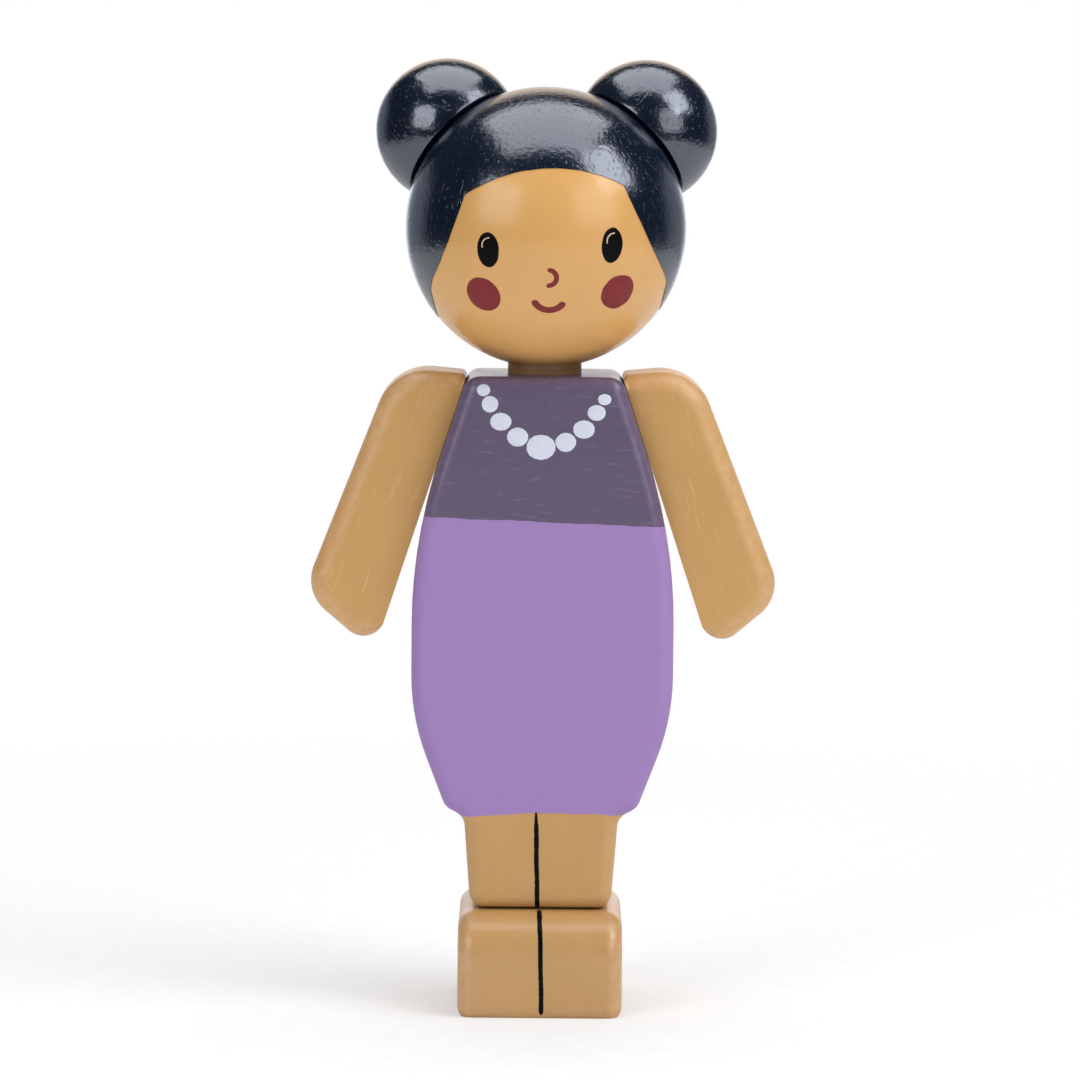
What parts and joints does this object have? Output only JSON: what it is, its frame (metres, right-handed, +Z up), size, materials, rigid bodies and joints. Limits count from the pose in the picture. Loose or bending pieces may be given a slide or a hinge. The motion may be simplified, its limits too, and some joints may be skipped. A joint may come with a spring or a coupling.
{
  "type": "peg doll",
  "caption": "Wooden peg doll with a ball head that turns, bun hair, a board-cut body in a dress, a foot block, and flat arms that swing on an elastic cord.",
  "frame": {"origin": "on the ground, midway between left and right and between the front and back of the head", "axes": "+Z up through the neck, +X towards the doll's left hand, -Y the way the doll faces"},
  "size_m": [0.0578, 0.035, 0.118],
  "materials": {
    "dress_paint": "satin paint on wood",
    "skin_paint": "satin paint on wood",
    "face_paint": "satin paint on wood",
    "hair_paint": "gloss paint on wood",
    "bare_wood": "bare turned wood",
    "elastic": "covered elastic cord"
  },
  "bodies": {
    "body": {"torso": "dress_paint", "foot_block": "skin_paint", "foot_peg_left": "bare_wood", "foot_peg_right": "bare_wood", "neck_peg": "skin_paint", "shoulder_elastic": "elastic"},
    "head": {"head": "face_paint", "bun_left": "hair_paint", "bun_right": "hair_paint", "bun_peg_left": "bare_wood", "bun_peg_right": "bare_wood"},
    "left_arm": {"arm_left": "skin_paint", "arm_plug_left": "bare_wood"},
    "right_arm": {"arm_right": "skin_paint", "arm_plug_right": "bare_wood"}
  },
  "joints": [
    {"name": "head_turn", "type": "hinge", "parent": "body", "child": "head", "pos_m": [0, 0, 0.0803], "axis": [0, 0, 1], "continuous": true},
    {"name": "left_arm_swing", "type": "hinge", "parent": "body", "child": "left_arm", "pos_m": [0.01169, 0, 0.0726], "axis": [-0.95, 0, -0.3123], "range_deg": [-118, 118]},
    {"name": "right_arm_swing", "type": "hinge", "parent": "body", "child": "right_arm", "pos_m": [-0.01169, 0, 0.0726], "axis": [-0.95, 0, 0.3123], "range_deg": [-118, 118]}
  ]
}
